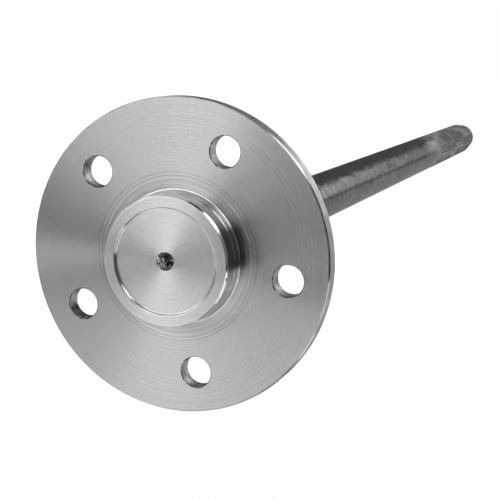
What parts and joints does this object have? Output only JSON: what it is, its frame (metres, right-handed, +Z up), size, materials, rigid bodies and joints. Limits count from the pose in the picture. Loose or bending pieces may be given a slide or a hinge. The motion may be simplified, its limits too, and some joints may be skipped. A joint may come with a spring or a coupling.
{
  "type": "axle shaft",
  "caption": "Flanged rear axle shaft: round wheel flange with stud holes and a stepped pilot nose, ground journal, long barrel, involute splines, lock groove and button end.",
  "frame": {"origin": "centre of the flange's outboard wheel face, on the shaft's axis", "axes": "+Y along the shaft from the wheel flange to the splined inner end, +Z up, +X to the right seen from the wheel side"},
  "size_m": [0.1538, 0.813, 0.1538],
  "materials": {
    "machined_steel": "bare turned steel with fine feed lines"
  },
  "bodies": {
    "root": {"axle_shaft": "machined_steel"}
  },
  "joints": []
}
